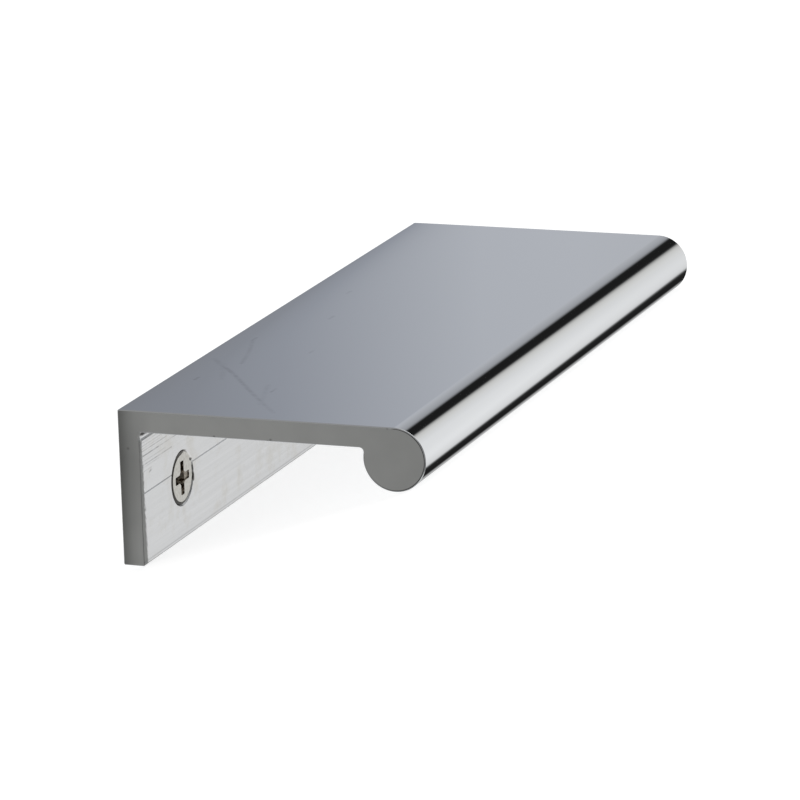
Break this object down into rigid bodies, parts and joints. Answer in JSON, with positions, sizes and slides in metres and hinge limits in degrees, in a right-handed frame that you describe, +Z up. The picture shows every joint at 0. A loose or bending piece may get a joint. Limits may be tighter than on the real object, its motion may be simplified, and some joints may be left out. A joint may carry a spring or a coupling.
{
  "type": "edge pull",
  "caption": "L-shaped metal edge pull for a drawer or cupboard door, with a rounded grip bead along its outer edge, held by countersunk cross-recess screws.",
  "frame": {"origin": "on the level surface that the loose pull lies on, under the middle of its box", "axes": "+Y along the pull, +X from the mounting flange towards the grip bead, +Z up as it lies loose"},
  "size_m": [0.0448, 0.106, 0.0197],
  "materials": {
    "profile": "polished and bright-plated",
    "screw": "zinc plated"
  },
  "bodies": {
    "root": {"pull_profile": "profile", "near_screw": "screw", "far_screw": "screw"}
  },
  "joints": []
}
